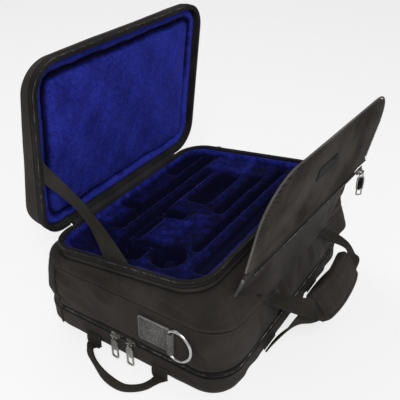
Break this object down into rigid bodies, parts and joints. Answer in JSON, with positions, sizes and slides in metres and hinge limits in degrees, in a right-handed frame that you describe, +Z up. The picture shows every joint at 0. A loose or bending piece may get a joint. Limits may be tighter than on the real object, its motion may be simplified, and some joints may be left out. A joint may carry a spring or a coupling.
{
  "type": "oboe case",
  "caption": "Open oboe case in a soft cover, with a moulded plush lining, hinged lid, music pocket, front flap, zippers, wrap handle, side loop and strap rings.",
  "frame": {"origin": "middle of the face that the case rests on, midway between the cover's ends and between its front and back", "axes": "+Z up, X along the lid's hinge, the front with the handle and the flap faces -Y"},
  "size_m": [0.4741, 0.4262, 0.4093],
  "materials": {
    "cover_nylon": "coarse matt nylon cloth",
    "ribbed_nylon": "ribbed matt nylon cloth",
    "zipper_tape": "woven zipper tape with coil teeth",
    "plush": "short crushed plush",
    "shell_cloth": "cloth over a stiff board",
    "webbing": "woven flat webbing",
    "piping": "light corded edging",
    "leather": "pebbled leather",
    "ring_steel": "polished",
    "pull_metal": "dark plated, satin",
    "pull_rubber": "matt"
  },
  "bodies": {
    "base": {"pocket_tray": "cover_nylon", "pocket_zip_lower": "zipper_tape", "pocket_hinge_strip": "cover_nylon", "pocket_back_band": "cover_nylon", "side_loop_anchor_rear": "webbing", "side_loop_anchor_front": "webbing", "lower_strap_anchor_left": "webbing", "lower_strap_anchor_right": "webbing", "handle_lower_strap": "webbing"},
    "cover": {"pocket_zip_upper": "zipper_tape", "cover_body": "cover_nylon", "flap_riser": "cover_nylon", "flap_zip_tape": "zipper_tape", "riser_piping_left": "piping", "riser_piping_right": "piping", "handle_anchor_left": "webbing", "handle_anchor_right": "webbing", "ring_tab_left": "leather", "ring_tab_right": "leather", "shell_base": "shell_cloth", "rim_zip_base": "zipper_tape", "lid_hinge_strip": "zipper_tape", "moulded_lining": "plush", "stay_seat": "webbing", "stay_strap": "webbing"},
    "lid": {"lid_shell": "shell_cloth", "rim_zip_lid": "zipper_tape", "lid_lining": "plush", "stay_patch_lid": "webbing"},
    "flap": {"flap_panel": "ribbed_nylon", "flap_piping": "piping", "label_patch": "leather"},
    "handle": {"handle_upper_strap": "webbing", "handle_grip": "cover_nylon"},
    "loop": {"side_loop": "webbing"},
    "ring_left": {"ring_left": "ring_steel"},
    "ring_right": {"ring_right": "ring_steel"},
    "slider_rear": {"slider_rear": "pull_metal"},
    "pull_rear": {"pull_rear": "pull_metal"},
    "slider_front": {"slider_front": "pull_metal"},
    "pull_front": {"pull_front": "pull_metal"},
    "slider_flap": {"slider_flap": "pull_metal"},
    "pull_flap": {"pull_flap": "pull_metal", "pull_flap_grip": "pull_rubber", "pull_flap_tip": "pull_metal"},
    "slider_rim": {"slider_rim": "pull_metal"},
    "pull_rim": {"pull_rim": "pull_metal"}
  },
  "joints": [
    {"name": "cover_hinge", "type": "hinge", "parent": "base", "child": "cover", "pos_m": [0, 0.16, 0.04455], "axis": [1, 0, 0], "range_deg": [-60, 0]},
    {"name": "lid_hinge", "type": "hinge", "parent": "cover", "child": "lid", "pos_m": [0, 0.148, 0.1427], "axis": [1, 0, 0], "range_deg": [-3, 77], "deforming": ["stay_strap"]},
    {"name": "flap_hinge", "type": "hinge", "parent": "cover", "child": "flap", "pos_m": [0, -0.177, 0.214], "axis": [0.9992, -0.0366, -0.0157], "range_deg": [-96, 80]},
    {"name": "handle_hinge", "type": "hinge", "parent": "cover", "child": "handle", "pos_m": [0, -0.16683, 0.112], "axis": [1, 0, 0], "range_deg": [-50, 0], "deforming": ["handle_lower_strap"]},
    {"name": "loop_hinge", "type": "hinge", "parent": "base", "child": "loop", "pos_m": [-0.2026, 0.001, 0.0015], "axis": [0, 1, 0], "range_deg": [0, 32]},
    {"name": "ring_left_hinge", "type": "hinge", "parent": "cover", "child": "ring_left", "pos_m": [-0.209, -0.0822, 0.085], "axis": [0, 0, 1], "range_deg": [-150, 0]},
    {"name": "ring_right_hinge", "type": "hinge", "parent": "cover", "child": "ring_right", "pos_m": [0.209, -0.0822, 0.085], "axis": [0, 0, 1], "range_deg": [0, 150]},
    {"name": "slider_rear_slide", "type": "slide", "parent": "base", "child": "slider_rear", "axis": [0, 1, 0], "range_m": [0, 0.008]},
    {"name": "pull_rear_hinge", "type": "hinge", "parent": "slider_rear", "child": "pull_rear", "pos_m": [-0.209, 0.015, 0.04455], "axis": [0, 1, 0], "range_deg": [0, 12]},
    {"name": "slider_front_slide", "type": "slide", "parent": "base", "child": "slider_front", "axis": [0, 1, 0], "range_m": [-0.085, 0]},
    {"name": "pull_front_hinge", "type": "hinge", "parent": "slider_front", "child": "pull_front", "pos_m": [-0.209, -0.012, 0.04455], "axis": [0, 1, 0], "range_deg": [0, 90]},
    {"name": "slider_flap_slide", "type": "slide", "parent": "cover", "child": "slider_flap", "axis": [0.9992, -0.0366, -0.0157], "range_m": [-0.305, 0.005]},
    {"name": "pull_flap_hinge", "type": "hinge", "parent": "slider_flap", "child": "pull_flap", "pos_m": [0.14947, -0.19246, 0.20012], "axis": [0.9992, -0.0366, -0.0157], "range_deg": [-80, 0]},
    {"name": "slider_rim_slide", "type": "slide", "parent": "cover", "child": "slider_rim", "axis": [0, 0.9917, -0.1288], "range_m": [-0.155, 0]},
    {"name": "pull_rim_hinge", "type": "hinge", "parent": "slider_rim", "child": "pull_rim", "pos_m": [0.19548, 0.08792, 0.14597], "axis": [0, 0.9917, -0.1288], "range_deg": [-80, 0]}
  ]
}
